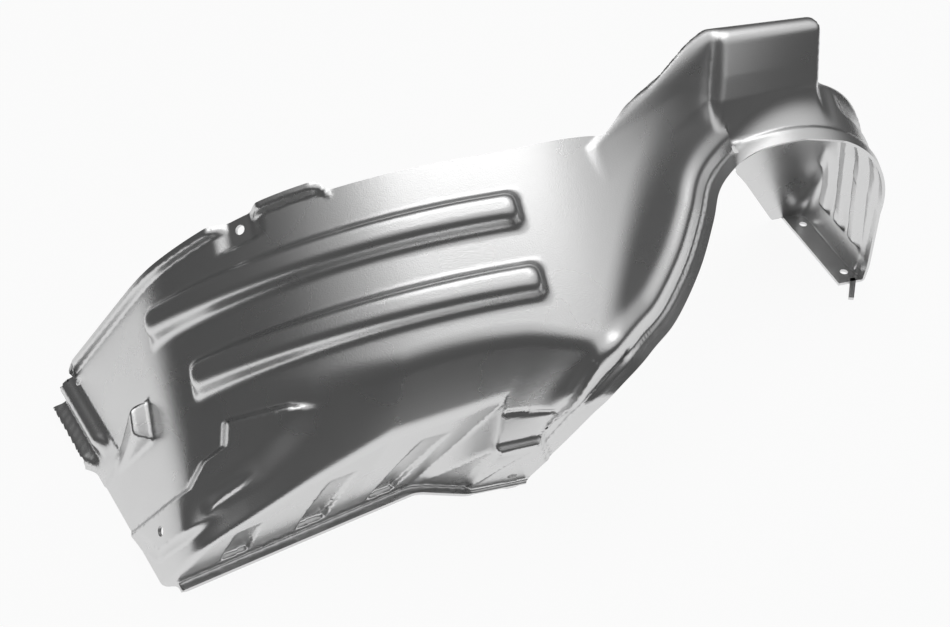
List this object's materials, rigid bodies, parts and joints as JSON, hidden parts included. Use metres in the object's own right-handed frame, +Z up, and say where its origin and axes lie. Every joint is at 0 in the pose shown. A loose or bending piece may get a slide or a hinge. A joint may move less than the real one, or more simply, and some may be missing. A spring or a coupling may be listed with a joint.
{
  "type": "wheel arch liner",
  "caption": "Moulded black plastic liner for a car's front wheel arch, with stiffening beads, a strut bay cut-out, a rear corner pocket, turned lips and screw holes.",
  "frame": {"origin": "on the floor under the middle of the liner's box, as it rests on a table", "axes": "+X towards the rear foot, +Y towards the outer wing, +Z up"},
  "size_m": [0.8318, 0.3652, 0.29],
  "materials": {
    "black_plastic": "semi-gloss polyethylene with fine grain"
  },
  "bodies": {
    "root": {"liner_shell": "black_plastic"}
  },
  "joints": []
}
